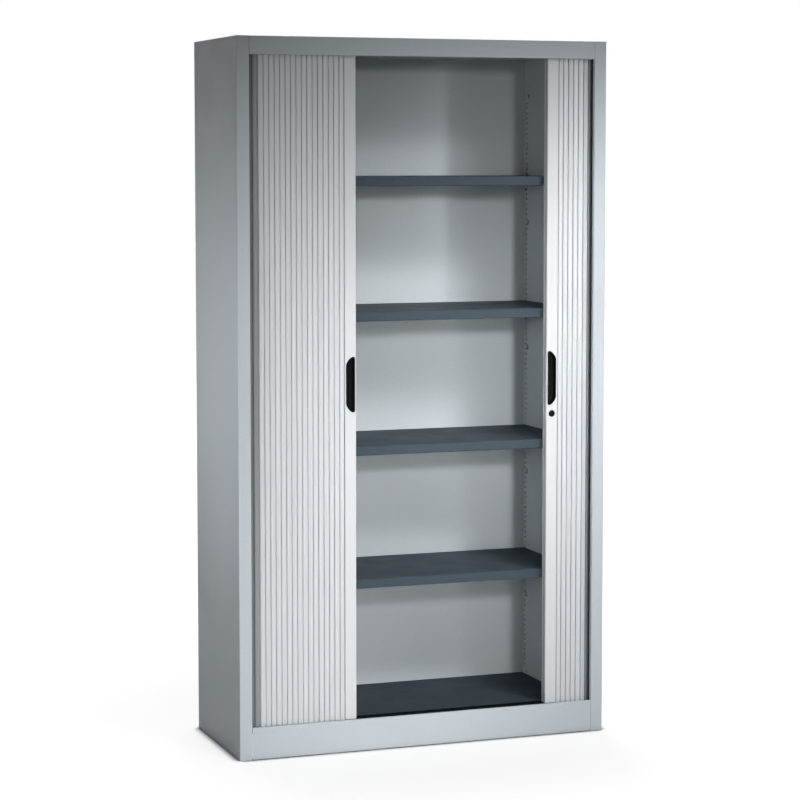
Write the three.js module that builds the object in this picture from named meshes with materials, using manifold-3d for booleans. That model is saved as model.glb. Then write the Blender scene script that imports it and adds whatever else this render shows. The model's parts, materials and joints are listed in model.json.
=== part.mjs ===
import * as THREE from 'three';
import { mergeGeometries, mergeVertices } from 'three/addons/utils/BufferGeometryUtils.js';
import Module from 'manifold-3d';

const wasm = await Module();
wasm.setup();

// A free-standing office cabinet, closed by two tambour doors that roll into pockets at its sides.
// X runs to the right, Y to the back and Z up, in millimetres.
// The origin is the middle of the footprint, on the ground.

// Overall size
const cabinetWidth = 1090;
const cabinetDepth = 430;
const cabinetHeight = 1980;

// Sheet steel, bends and clearances
const sheetThickness = 1.2;
const bendRadius = 2.4;
const bendSteps = 2;
const seatGap = 0.3;
const runGap = 0.5;
const cutOverrun = 4;

// Casing
const stileWidth = 36;
const stileReturn = 12;
const rearFlangeWidth = 25;
const edgeFlangeWidth = 18;
const topRailHeight = 50;
const plinthHeight = 90;
const railReturn = 5;
const plinthFoot = 20;
const topRearFlange = 22;
const rearRailDepth = 22;

// Floor and ceiling pans: a rim all round, with the middle pressed out of it
const floorRise = 16;
const ceilingDrop = 40;
const ceilingRise = 10;

// Inner side walls with their rows of clip slots
const linerInset = 70;
const linerFront = 48;
const linerFlange = 15;
const slotPitch = 15;
const slotLength = 11;
const slotHeight = 5;
const slotFirstHeight = 29;
const slotTopMargin = 100;
const frontSlotInset = 24;
const rearSlotInset = 17;
const pocketHoleInset = 30;
const pocketHoleHeight = 13;
const pocketHoleDrop = 140;
const drainHoleHeight = 8;

// Shelves and their clips
const shelfCount = 4;
const shelfRise = 10;
const rowsBelowShelf = 2;
const shelfSideGap = 0.8;
const shelfFront = 47;
const shelfRearGap = 6;
const shelfLip = 26;
const shelfReturn = 10;
const clipThickness = 2;
const clipWidth = 9;
const clipLedge = 13;
const clipHook = 6;

// Tambour slats on their hinge web
const slatPitch = 15.4;
const slatThickness = 6.5;
const slatBevel = 0.8;
const slatCrown = 0.5;
const grooveWidth = 2.2;
const webThickness = 1.4;
const frontSlats = 5;
const tailSlats = 11;

// Path of the doors: along the front, round a bend, then back along the side
const doorSetback = 14;
const turnRadius = 45;
const turnSteps = 10;
const pocketSideGap = 19;
const doorRearGap = 28;

// Tracks
const trackHeight = 12;
const trackBase = 3;
const trackWall = 2.5;
const trackBendGap = 0.9;
const trackRearGap = 15;
const doorLift = 2;

// Lead profile at the meeting edge of each door, with its end shoes
const leadWidth = 33;
const leadDepth = 25;
const leadWall = 1.8;
const leadEdgeWall = 4;
const leadCorner = 2.5;
const leadCornerSteps = 3;
const sealGrooveWidth = 3;
const sealGrooveDepth = 2.2;
const sealGroovePlace = 11;
const shoeCap = 2;
const shoePlug = 18;
const shoeFootInset = 4;

// Recessed handles
const handleWidth = 23.5;
const handleHeight = 152;
const handleAboveLock = 16;
const handleDepth = 14;
const handleWall = 1.5;
const handleLap = 1;
const handleRim = 0.8;
const handleTightRadius = 4;
const handleBowWidth = 19;
const handleBowHeight = 24.5;
const handleBowExponent = 1.25;
const bowSteps = 6;

// Lock on the right door, and its keeper in the left one
const lockHeight = 926;
const lockFlangeRadius = 9.5;
const lockFlangeProud = 1.8;
const lockBarrelRadius = 7.5;
const lockBarrelDepth = 15;
const lockCoreRadius = 4;
const lockSegments = 20;
const keywayWidth = 2;
const keywayHeight = 5.5;
const keywayDepth = 5;
const camRadius = 11;
const camThickness = 1.7;
const camPinRadius = 2;
const camPinOffset = 8.5;
const boltThickness = 3;
const boltNoseInset = 0.6;
const boltTail = 3;
const boltBelow = 4;
const boltAbove = 15;
const keeperThickness = 1.5;
const keeperMargin = 9;

// Levels and places that follow from the sizes
const halfWidth = cabinetWidth / 2;
const front = -cabinetDepth / 2;
const back = cabinetDepth / 2;
const linerFace = halfWidth - linerInset;
const sheetRear = back - 2 * (sheetThickness + seatGap);
const floorFace = plinthHeight;
const floorRim = floorFace - floorRise;
const ceilingFace = cabinetHeight - ceilingDrop;
const ceilingRim = ceilingFace + ceilingRise;
const rowsPerShelf = Math.round((ceilingFace - floorFace) / (shelfCount + 1) / slotPitch);
const bottomTrackTop = floorRim + seatGap + trackHeight;
const topTrackBottom = ceilingRim - seatGap - trackHeight;
const slatBottom = floorRim + seatGap + trackBase + runGap;
const slatTop = ceilingRim - seatGap - trackBase - doorLift;
const leadBottom = bottomTrackTop + runGap + shoeCap + seatGap;
const leadTop = topTrackBottom - runGap - shoeCap - seatGap;
const doorFace = front + doorSetback;
const turnStart = halfWidth - pocketSideGap - turnRadius;
const webRadius = turnRadius - slatThickness;
const turnLength = webRadius * Math.PI / 2;
const sideLength = cabinetDepth - doorSetback - turnRadius - doorRearGap;
const storedSlats = Math.floor((turnLength + sideLength) / slatPitch);
const sectionLength = leadWidth + frontSlats * slatPitch;
const rightLeadingEdge = turnStart - sectionLength;
const leftLeadingEdge = rightLeadingEdge - tailSlats * slatPitch;
const leadCentre = leadWidth / 2;
const handleCentre = lockHeight + lockFlangeRadius + handleAboveLock + handleHeight / 2;

// Finishes: colour, roughness and metalness
const silverPaint = { color: 0xb4bbc1, roughness: 0.48, metalness: 0.35 };
const innerPaint = { color: 0xa9adb0, roughness: 0.6, metalness: 0.25 };
const slatPlastic = { color: 0xd4d8dc, roughness: 0.42, metalness: 0.2 };
const leadMetal = { color: 0xd9dde0, roughness: 0.35, metalness: 0.5 };
const shelfPaint = { color: 0x3a444d, roughness: 0.55, metalness: 0.3 };
const blackPlastic = { color: 0x121315, roughness: 0.45, metalness: 0 };
const zincSteel = { color: 0xb9bcc0, roughness: 0.35, metalness: 0.9 };
const brightMetal = { color: 0xd0d2d4, roughness: 0.22, metalness: 1 };

// Outline helpers: points are pairs of numbers

// Rounds each inner corner of a path with a short arc
function roundedPath(path, radius, steps) {
  if (radius === 0) return path;
  return path.flatMap((corner, index) => {
    if (index === 0 || index === path.length - 1) return [corner];
    const here = new THREE.Vector2(...corner);
    const before = new THREE.Vector2(...path[index - 1]).sub(here).normalize();
    const after = new THREE.Vector2(...path[index + 1]).sub(here).normalize();
    const start = here.clone().addScaledVector(before, radius);
    const end = here.clone().addScaledVector(after, radius);
    const curve = new THREE.QuadraticBezierCurve(start, here, end);
    return curve.getPoints(steps).map((point) => [point.x, point.y]);
  });
}

// Outline of a sheet folded along a path, with its thickness laid on the left of the path
function foldedSheet(path, thickness, radius = bendRadius) {
  const outer = roundedPath(path, radius, bendSteps);
  const normals = outer.slice(1).map(([x, y], index) => {
    const [fromX, fromY] = outer[index];
    return new THREE.Vector2(fromY - y, x - fromX).normalize();
  });
  const inner = outer.map(([x, y], index) => {
    const first = normals[Math.max(index - 1, 0)];
    const second = normals[Math.min(index, normals.length - 1)];
    const reach = thickness / (1 + first.dot(second));
    return [x + (first.x + second.x) * reach, y + (first.y + second.y) * reach];
  });
  return [...outer, ...inner.reverse()];
}

// Leaves out the points of an outline that lie on the line between their neighbours
function withoutInline(points) {
  return points.filter(([x, y], index) => {
    const [beforeX, beforeY] = points.at(index - 1);
    const [afterX, afterY] = points[(index + 1) % points.length];
    const before = new THREE.Vector2(x - beforeX, y - beforeY).normalize();
    const after = new THREE.Vector2(afterX - x, afterY - y).normalize();
    return Math.abs(before.cross(after)) > Number.EPSILON ** (1 / 3);
  });
}

const mirrored = (points, side) => points.map(([x, y]) => [side * x, y]);

// Solid helpers

function extrude(points, length) {
  const outline = withoutInline(points).map(([x, y]) => new THREE.Vector2(x, y));
  return new THREE.ExtrudeGeometry(new THREE.Shape(outline), { depth: length, bevelEnabled: false });
}

// Plan outline (X, Y), extruded upwards
function extrudeUp(points, bottom, top) {
  return extrude(points, top - bottom).translate(0, 0, bottom);
}

// Side outline (Y, Z), extruded to the right
function extrudeAcross(points, left, right) {
  const turn = new THREE.Matrix4().set(0, 0, 1, left, 1, 0, 0, 0, 0, 1, 0, 0, 0, 0, 0, 1);
  return extrude(points, right - left).applyMatrix4(turn);
}

// Front outline (X, Z), extruded to the back
function extrudeBack(points, near, far) {
  return extrude(points, far - near).rotateX(Math.PI / 2).translate(0, far, 0);
}

function block(x, y, z) {
  const size = [x[1] - x[0], y[1] - y[0], z[1] - z[0]];
  const middle = [(x[0] + x[1]) / 2, (y[0] + y[1]) / 2, (z[0] + z[1]) / 2];
  return new THREE.BoxGeometry(...size.map(Math.abs)).translate(...middle);
}

function solid(geometry) {
  const bare = geometry.clone();
  bare.deleteAttribute('normal');
  bare.deleteAttribute('uv');
  const merged = mergeVertices(bare);
  const vertProperties = new Float32Array(merged.attributes.position.array);
  const triVerts = new Uint32Array(merged.index.array);
  return new wasm.Manifold(new wasm.Mesh({ numProp: 3, vertProperties, triVerts }));
}

function fromSolid(body) {
  const { vertProperties, triVerts } = body.getMesh();
  const geometry = new THREE.BufferGeometry();
  geometry.setAttribute('position', new THREE.BufferAttribute(vertProperties, 3));
  geometry.setIndex(new THREE.BufferAttribute(triVerts, 1));
  return geometry;
}

const joined = (...pieces) => pieces.map(solid).reduce((sum, piece) => sum.add(piece));

const cutBy = (body, ...tools) => tools.map(solid).reduce((rest, tool) => rest.subtract(tool), body);

const cabinet = new THREE.Group();

function addMesh(parent, name, geometry, finish) {
  const faceted = geometry.index ? geometry.toNonIndexed() : geometry;
  faceted.computeVertexNormals();
  const mesh = new THREE.Mesh(faceted, new THREE.MeshStandardMaterial(finish));
  mesh.name = name;
  parent.add(mesh);
}

function addGroup(x, y) {
  const group = new THREE.Group();
  group.position.set(x, y, 0);
  cabinet.add(group);
  return group;
}

// Casing

// Side wall, folded at the front into a stile and at the back into a flange
function sidePanel(side) {
  const path = [
    [halfWidth - stileWidth, front + stileReturn],
    [halfWidth - stileWidth, front],
    [halfWidth, front],
    [halfWidth, back],
    [halfWidth - rearFlangeWidth, back],
  ];
  const wall = extrudeUp(mirrored(foldedSheet(path, sheetThickness), side), 0, cabinetHeight);
  const flangeX = [side * (halfWidth - edgeFlangeWidth), side * (halfWidth - sheetThickness / 2)];
  const flangeY = [front + stileWidth, back - rearFlangeWidth];
  const topFlange = cabinetHeight - sheetThickness - seatGap;
  const foot = block(flangeX, flangeY, [0, sheetThickness]);
  const ledge = block(flangeX, flangeY, [topFlange - sheetThickness, topFlange]);
  const returnFace = halfWidth - stileWidth;
  const topNotch = block(
    [side * (returnFace - cutOverrun), side * (returnFace + bendRadius)],
    [front + bendRadius, front + stileReturn + cutOverrun],
    [topFlange, cabinetHeight + cutOverrun],
  );
  return fromSolid(cutBy(joined(wall, foot, ledge), topNotch));
}

// Top sheet with the front rail folded down from it
function topPanel() {
  const path = [
    [back, cabinetHeight - topRearFlange],
    [back, cabinetHeight],
    [front, cabinetHeight],
    [front, cabinetHeight - topRailHeight],
    [front + railReturn, cabinetHeight - topRailHeight],
  ];
  const railEnd = halfWidth - stileWidth - seatGap;
  const rail = extrudeAcross(foldedSheet(path, sheetThickness), -railEnd, railEnd);
  const sheetEnd = halfWidth - sheetThickness - seatGap;
  const sheetY = [front + bendRadius + seatGap, sheetRear];
  const sheet = block([-sheetEnd, sheetEnd], sheetY, [cabinetHeight - sheetThickness, cabinetHeight]);
  return fromSolid(joined(rail, sheet));
}

function plinthFront() {
  const path = [
    [front + railReturn, plinthHeight],
    [front, plinthHeight],
    [front, 0],
    [front + plinthFoot, 0],
  ];
  const end = halfWidth - stileWidth - seatGap;
  return extrudeAcross(foldedSheet(path, sheetThickness), -end, end);
}

// Channel under the back edge of the floor
function rearBaseRail() {
  const top = floorRim - sheetThickness - seatGap;
  const path = [
    [sheetRear - rearRailDepth, 0],
    [sheetRear, 0],
    [sheetRear, top],
    [sheetRear - rearRailDepth, top],
  ];
  const end = halfWidth - rearFlangeWidth - seatGap;
  return extrudeAcross(foldedSheet(path, sheetThickness), -end, end);
}

// Pan whose middle stands off its rim, notched at the front for the folds of the side walls
function pressedPan(rimFace, panFace) {
  const up = Math.sign(panFace - rimFace);
  const rimBack = rimFace - up * sheetThickness;
  const panBack = panFace - up * sheetThickness;
  const notchX = halfWidth - stileWidth - seatGap;
  const notchY = front + stileReturn + seatGap;
  const rimX = halfWidth - sheetThickness - seatGap;
  const rimY = front + sheetThickness + seatGap;
  const half = [[notchX, rimY], [notchX, notchY], [rimX, notchY], [rimX, sheetRear]];
  const outline = [...half, ...mirrored(half, -1).reverse()];
  const panX = linerFace - seatGap;
  const panY = [front + linerFront, sheetRear];
  const rim = extrudeUp(outline, Math.min(rimFace, rimBack), Math.max(rimFace, rimBack));
  const body = block([-panX, panX], panY, [rimBack, panFace]);
  const hollow = block(
    [-panX + sheetThickness, panX - sheetThickness],
    [panY[0] + sheetThickness, panY[1] - sheetThickness],
    [rimBack - up * cutOverrun, panBack],
  );
  return fromSolid(cutBy(joined(rim, body), hollow));
}

function backPanel() {
  const end = halfWidth - bendRadius - seatGap;
  const far = back - sheetThickness - seatGap;
  const top = cabinetHeight - bendRadius - seatGap;
  return block([-end, end], [far - sheetThickness, far], [seatGap, top]);
}

// Inner side walls, shelves and clips

const slotRows = Math.floor((ceilingFace - floorFace - slotFirstHeight - slotTopMargin) / slotPitch);
const slotHeightAt = (row) => floorFace + slotFirstHeight + row * slotPitch;
const shelfHeight = (shelf) => floorFace + shelfRise + shelf * rowsPerShelf * slotPitch;
const slotColumns = {
  front: front + linerFront + frontSlotInset,
  rear: sheetRear - rearSlotInset,
};

// Inner side wall: a channel, perforated by the rows of clip slots
function liner(side) {
  const path = [
    [linerFace + linerFlange, sheetRear],
    [linerFace, sheetRear],
    [linerFace, front + linerFront],
    [linerFace + linerFlange, front + linerFront],
  ];
  const outline = mirrored(foldedSheet(path, sheetThickness), side);
  const wall = solid(extrudeUp(outline, floorRim + seatGap, ceilingRim - seatGap));
  const through = [side * (linerFace - cutOverrun), side * (linerFace + cutOverrun)];
  const opening = (y, z, height) => block(
    through,
    [y - slotLength / 2, y + slotLength / 2],
    [z - height / 2, z + height / 2],
  );
  const slots = Object.values(slotColumns).flatMap((y) => (
    Array.from({ length: slotRows }, (_, row) => opening(y, slotHeightAt(row), slotHeight))
  ));
  const holeY = sheetRear - pocketHoleInset;
  const holes = Array.from({ length: shelfCount + 1 }, (_, shelf) => (
    opening(holeY, shelfHeight(shelf + 1) - pocketHoleDrop, pocketHoleHeight)
  ));
  const drain = opening(holeY, floorFace + drainHoleHeight, slotHeight);
  return fromSolid(cutBy(wall, mergeGeometries([...slots, ...holes, drain])));
}

function shelfTray(top) {
  const near = front + shelfFront;
  const far = sheetRear - shelfRearGap;
  const path = [
    [far, top - shelfLip],
    [far, top],
    [near, top],
    [near, top - shelfLip],
    [near + shelfReturn, top - shelfLip],
  ];
  const end = linerFace - shelfSideGap;
  return extrudeAcross(foldedSheet(path, sheetThickness), -end, end);
}

// Hooked clip: its tongue passes through a slot and its ledge carries the shelf
function shelfClip(side, y, shelf) {
  const ledge = shelfHeight(shelf) - sheetThickness - seatGap;
  const row = slotHeightAt(shelf * rowsPerShelf - rowsBelowShelf);
  const tongue = row - slotHeight / 2 + seatGap + clipThickness;
  const plate = linerFace - seatGap;
  const behind = linerFace + sheetThickness + seatGap + clipThickness;
  const path = [
    [behind, tongue - clipHook],
    [behind, tongue],
    [plate, tongue],
    [plate, ledge],
    [plate - clipLedge, ledge],
  ];
  const outline = mirrored(foldedSheet(path, clipThickness, 0), side);
  return extrudeBack(outline, y - clipWidth / 2, y + clipWidth / 2);
}

// Doors: place on the path at a distance along the hinge web, and at a depth behind the face

function pathPoint(along, depth) {
  const past = along - turnStart;
  if (past <= 0) return [along, doorFace + depth];
  if (past >= turnLength) {
    return [turnStart + turnRadius - depth, doorFace + turnRadius + past - turnLength];
  }
  const angle = past / webRadius;
  const radius = turnRadius - depth;
  return [turnStart + radius * Math.sin(angle), doorFace + turnRadius - radius * Math.cos(angle)];
}

// Band that follows the path from the middle of the cabinet, between two depths
function pathBand(nearDepth, farDepth, end) {
  const turn = Array.from({ length: turnSteps + 1 }, (_, step) => (
    turnStart + turnLength * step / turnSteps
  ));
  const stops = [seatGap / 2, ...turn, end];
  const near = stops.map((along) => pathPoint(along, nearDepth));
  const far = stops.map((along) => pathPoint(along, farDepth));
  return [...near, ...far.reverse()];
}

// Track: a base with two walls that guide the ends of the slats. Along the front it is filled out
// to the rail, and a rib covers the front edge of the pan.
function track(side, rimFace, panFace) {
  const end = turnStart + turnLength + cabinetDepth - doorSetback - turnRadius - trackRearGap;
  const up = Math.sign(panFace - rimFace);
  const baseFace = rimFace + up * seatGap;
  const ribHeight = Math.abs(panFace - baseFace) - seatGap;
  const nearWall = -runGap - trackWall;
  const farWall = slatThickness + trackBendGap;
  const levels = (height) => [baseFace, baseFace + up * height].sort((a, b) => a - b);
  const band = (near, far, height) => (
    extrudeUp(mirrored(pathBand(near, far, end), side), ...levels(height))
  );
  const strip = (near, far, height) => (
    block([side * seatGap / 2, side * turnStart], [near, far], levels(height))
  );
  return fromSolid(joined(
    band(nearWall, farWall + trackWall, trackBase),
    band(nearWall, nearWall + trackWall, trackHeight),
    band(farWall, farWall + trackWall, trackHeight),
    strip(front + railReturn + seatGap, doorFace + nearWall + trackWall, trackHeight),
    strip(doorFace + farWall, front + shelfFront, trackHeight),
    strip(doorFace + leadDepth + 2 * runGap, front + shelfFront, ribHeight),
  ));
}

// Curtain of rigid slats on a thin hinge web: each stands on the chord between its two hinges
function curtain(side, count, place) {
  const web = slatThickness - webThickness;
  const half = (slatPitch - grooveWidth) / 2;
  const faces = [];
  const hinges = [];
  for (let slat = 0; slat < count; slat += 1) {
    const start = slat * slatPitch + grooveWidth / 2;
    const from = new THREE.Vector2(...place(start, slatThickness));
    const to = new THREE.Vector2(...place(start + 2 * half, slatThickness));
    const middle = from.clone().add(to).divideScalar(2);
    const along = to.sub(from).normalize();
    const corner = (offset, depth) => [
      middle.x + along.x * offset + along.y * (slatThickness - depth),
      middle.y + along.y * offset - along.x * (slatThickness - depth),
    ];
    const flank = half - slatBevel;
    faces.push(corner(-half, web), corner(-half, slatCrown + slatBevel), corner(-flank, slatCrown));
    faces.push(corner(0, 0));
    faces.push(corner(flank, slatCrown), corner(half, slatCrown + slatBevel), corner(half, web));
    hinges.push(corner(-half, slatThickness), corner(half, slatThickness));
  }
  const first = seatGap / 2;
  const last = count * slatPitch - seatGap / 2;
  const outline = [
    place(first, web),
    ...faces,
    place(last, web),
    place(last, slatThickness),
    ...hinges.reverse(),
    place(first, slatThickness),
  ];
  return extrudeUp(mirrored(outline, side), slatBottom, slatTop);
}

// Slats that wait in the bend and in the side pocket
function storedCurtain(side, count) {
  return curtain(side, count, (along, depth) => pathPoint(turnStart + along, depth));
}

// Flat stretch of slats, from a distance behind the leading edge
function flatCurtain(side, offset, count) {
  return curtain(side, count, (along, depth) => [offset + along, depth]);
}

// Lead profile: a hollow extrusion with a seal groove in its meeting face
function leadOutline() {
  const corner = roundedPath(
    [[0, sealGroovePlace], [0, 0], [leadWidth - seatGap / 2, 0]],
    leadCorner,
    leadCornerSteps,
  );
  return [
    ...corner,
    [leadWidth - seatGap / 2, leadDepth],
    [0, leadDepth],
    [0, sealGroovePlace + sealGrooveWidth],
    [sealGrooveDepth, sealGroovePlace + sealGrooveWidth],
    [sealGrooveDepth, sealGroovePlace],
  ];
}

const hollowX = [leadEdgeWall, leadWidth - seatGap / 2 - leadWall];
const hollowY = [leadWall, leadDepth - leadWall];
const boltNear = lockBarrelDepth + 2 * seatGap + camThickness;
const boltFar = boltNear + boltThickness;

function leadProfile(side, cuts) {
  const shell = extrudeUp(mirrored(leadOutline(), side), leadBottom, leadTop);
  const hollow = block(
    hollowX.map((x) => side * x),
    hollowY,
    [leadBottom - cutOverrun, leadTop + cutOverrun],
  );
  const boltPassage = block(
    [-side * cutOverrun, side * (leadEdgeWall + cutOverrun)],
    [boltNear - runGap, boltFar + runGap],
    [lockHeight - boltBelow - runGap, lockHeight + boltAbove + runGap],
  );
  const handleHole = extrudeBack(handleOutline(side, seatGap), -cutOverrun, leadWall + cutOverrun);
  return fromSolid(cutBy(solid(shell), hollow, boltPassage, handleHole, ...cuts));
}

// Shoe that closes an end of the lead profile and runs in the track
function guideShoe(side, profileEnd, footEnd) {
  const up = Math.sign(profileEnd - footEnd);
  const capFace = profileEnd - up * seatGap;
  const levels = (low, high) => [low, high].sort((a, b) => a - b);
  const cap = extrudeUp(mirrored(leadOutline(), side), ...levels(capFace - up * shoeCap, capFace));
  const plug = block(
    [side * (hollowX[0] + seatGap), side * (hollowX[1] - seatGap)],
    [hollowY[0] + seatGap, hollowY[1] - seatGap],
    levels(capFace - up * shoeCap / 2, capFace + up * shoePlug),
  );
  const foot = block(
    [side * shoeFootInset, side * (leadWidth - shoeFootInset)],
    [0, slatThickness],
    levels(footEnd, capFace - up * shoeCap / 2),
  );
  return fromSolid(joined(cap, plug, foot));
}

// Handle outline: straight along the meeting edge, bowed at its other corners
function handleOutline(side, growth) {
  const near = leadCentre - handleWidth / 2 - growth;
  const far = leadCentre + handleWidth / 2 + growth;
  const top = handleHeight / 2 + growth;
  const bow = Array.from({ length: bowSteps + 1 }, (_, step) => {
    const angle = Math.PI / 2 * step / bowSteps;
    return [
      far - (handleBowWidth + growth) * (1 - Math.sin(angle) ** handleBowExponent),
      top - (handleBowHeight + growth) * (1 - Math.cos(angle) ** handleBowExponent),
    ];
  });
  const tightRadius = handleTightRadius + growth;
  const tight = roundedPath([[near, 0], [near, top], [far, top]], tightRadius, bendSteps);
  const upper = [...tight.slice(1, -1), ...bow];
  const lower = upper.map(([x, z]) => [x, -z]).reverse();
  return mirrored([...upper, ...lower], side).map(([x, z]) => [x, z + handleCentre]);
}

// Moulded handle cup with a rim that laps onto the profile
function handleCup(side) {
  const rimFace = -seatGap - handleRim;
  const cup = extrudeBack(handleOutline(side, 0), rimFace, handleDepth);
  const rim = extrudeBack(handleOutline(side, seatGap + handleLap), rimFace, -seatGap);
  const recess = extrudeBack(
    handleOutline(side, -handleWall),
    rimFace - cutOverrun,
    handleDepth - handleWall,
  );
  return fromSolid(cutBy(joined(cup, rim), recess));
}

// Lock

function lathe(profile) {
  const points = profile.map(([radius, y]) => new THREE.Vector2(radius, y));
  return new THREE.LatheGeometry(points, lockSegments).translate(leadCentre, 0, lockHeight);
}

function lockHousing() {
  const bore = lockCoreRadius + seatGap;
  return fromSolid(solid(lathe([
    [bore, -lockFlangeProud],
    [lockFlangeRadius, -lockFlangeProud],
    [lockFlangeRadius, -seatGap],
    [lockBarrelRadius, -seatGap],
    [lockBarrelRadius, lockBarrelDepth],
    [bore, lockBarrelDepth],
    [bore, -lockFlangeProud],
  ])));
}

// Cylinder core with its keyway, and the cam whose pin drives the bolt
function lockCylinder() {
  const face = -lockFlangeProud + seatGap;
  const camNear = lockBarrelDepth + seatGap;
  const camFar = camNear + camThickness;
  const core = lathe([
    [0, face],
    [lockCoreRadius, face],
    [lockCoreRadius, camNear],
    [camRadius, camNear],
    [camRadius, camFar],
    [0, camFar],
  ]);
  const pinReach = camPinAcross();
  const pinLength = boltFar - camNear;
  const pin = new THREE.CylinderGeometry(camPinRadius, camPinRadius, pinLength, lockSegments / 2)
    .translate(leadCentre + pinReach, camNear + pinLength / 2, lockHeight + pinReach);
  const keyway = block(
    [leadCentre - keywayWidth / 2, leadCentre + keywayWidth / 2],
    [face - cutOverrun, face + keywayDepth],
    [lockHeight - keywayHeight / 2, lockHeight + keywayHeight / 2],
  );
  return fromSolid(cutBy(joined(core, pin), keyway));
}

// The cam pin swings a quarter turn about the top, so it rests an eighth of a turn off it
function camPinAcross() {
  return camPinOffset * Math.SQRT1_2;
}

// Sliding bolt with an upright slot for the cam pin
function lockBolt() {
  const pinX = leadCentre + camPinAcross();
  const slotHalf = camPinRadius + runGap;
  const slotLow = lockHeight + camPinAcross() - slotHalf;
  const slotTop = lockHeight + camPinOffset + slotHalf;
  const plate = block(
    [boltNoseInset, pinX + slotHalf + boltTail],
    [boltNear, boltFar],
    [lockHeight - boltBelow, lockHeight + boltAbove],
  );
  const slot = block(
    [pinX - slotHalf, pinX + slotHalf],
    [boltNear - cutOverrun, boltFar + cutOverrun],
    [slotLow, slotTop],
  );
  return fromSolid(cutBy(solid(plate), slot));
}

// Strike plate behind the meeting face of the left lead profile
function keeper(side) {
  const near = leadEdgeWall + seatGap;
  const plate = block(
    [side * near, side * (near + keeperThickness)],
    [boltNear - keeperMargin / 2, hollowY[1] - seatGap],
    [lockHeight - boltBelow - keeperMargin, lockHeight + boltAbove + keeperMargin],
  );
  const passage = block(
    [0, side * (near + keeperThickness + cutOverrun)],
    [boltNear - runGap, boltFar + runGap],
    [lockHeight - boltBelow - runGap, lockHeight + boltAbove + runGap],
  );
  return fromSolid(cutBy(solid(plate), passage));
}

function lockHole() {
  const radius = lockBarrelRadius + seatGap;
  const length = leadWall + 2 * cutOverrun;
  return new THREE.CylinderGeometry(radius, radius, length, lockSegments)
    .translate(leadCentre, leadWall / 2, lockHeight);
}

// Assembly

function addCasing() {
  addMesh(cabinet, 'left_side_panel', sidePanel(-1), silverPaint);
  addMesh(cabinet, 'right_side_panel', sidePanel(1), silverPaint);
  addMesh(cabinet, 'top_panel', topPanel(), silverPaint);
  addMesh(cabinet, 'plinth_front', plinthFront(), silverPaint);
  addMesh(cabinet, 'rear_base_rail', rearBaseRail(), silverPaint);
  addMesh(cabinet, 'floor_panel', pressedPan(floorRim, floorFace), shelfPaint);
  addMesh(cabinet, 'ceiling_panel', pressedPan(ceilingRim, ceilingFace), innerPaint);
  addMesh(cabinet, 'back_panel', backPanel(), innerPaint);
}

function addShelves() {
  for (let shelf = 1; shelf <= shelfCount; shelf += 1) {
    addMesh(cabinet, `shelf_${shelf}`, shelfTray(shelfHeight(shelf)), shelfPaint);
    for (const [sideName, side] of [['left', -1], ['right', 1]]) {
      for (const [column, y] of Object.entries(slotColumns)) {
        const name = `shelf_${shelf}_clip_${sideName}_${column}`;
        addMesh(cabinet, name, shelfClip(side, y, shelf), zincSteel);
      }
    }
  }
}

function addSide(sideName, side) {
  addMesh(cabinet, `${sideName}_liner`, liner(side), innerPaint);
  addMesh(cabinet, `${sideName}_bottom_track`, track(side, floorRim, floorFace), blackPlastic);
  addMesh(cabinet, `${sideName}_top_track`, track(side, ceilingRim, ceilingFace), blackPlastic);
}

// Everything that one lead profile carries; its frame has its origin on the leading edge
function addLeadSection(sideName, side, leadingEdge, cuts) {
  const section = addGroup(side * leadingEdge, doorFace);
  addMesh(section, `${sideName}_lead_profile`, leadProfile(side, cuts), leadMetal);
  addMesh(section, `${sideName}_front_curtain`, flatCurtain(side, leadWidth, frontSlats), slatPlastic);
  addMesh(section, `${sideName}_handle`, handleCup(side), blackPlastic);
  addMesh(section, `${sideName}_bottom_shoe`, guideShoe(side, leadBottom, slatBottom), blackPlastic);
  addMesh(section, `${sideName}_top_shoe`, guideShoe(side, leadTop, slatTop), blackPlastic);
  return section;
}

function addLeftDoor() {
  const section = addLeadSection('left', -1, leftLeadingEdge, []);
  addMesh(section, 'lock_keeper', keeper(-1), zincSteel);
  const tail = addGroup(-leftLeadingEdge, doorFace);
  addMesh(tail, 'left_tail_curtain', flatCurtain(-1, sectionLength, tailSlats), slatPlastic);
  addMesh(cabinet, 'left_pocket_curtain', storedCurtain(-1, storedSlats - tailSlats), slatPlastic);
}

function addRightDoor() {
  const section = addLeadSection('right', 1, rightLeadingEdge, [lockHole()]);
  addMesh(section, 'lock_housing', lockHousing(), blackPlastic);
  addMesh(section, 'lock_cylinder', lockCylinder(), brightMetal);
  addMesh(section, 'lock_bolt', lockBolt(), zincSteel);
  addMesh(cabinet, 'right_pocket_curtain', storedCurtain(1, storedSlats), slatPlastic);
}

addCasing();
addShelves();
addSide('left', -1);
addSide('right', 1);
addLeftDoor();
addRightDoor();

export default cabinet;
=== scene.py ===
import json
import math

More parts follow.
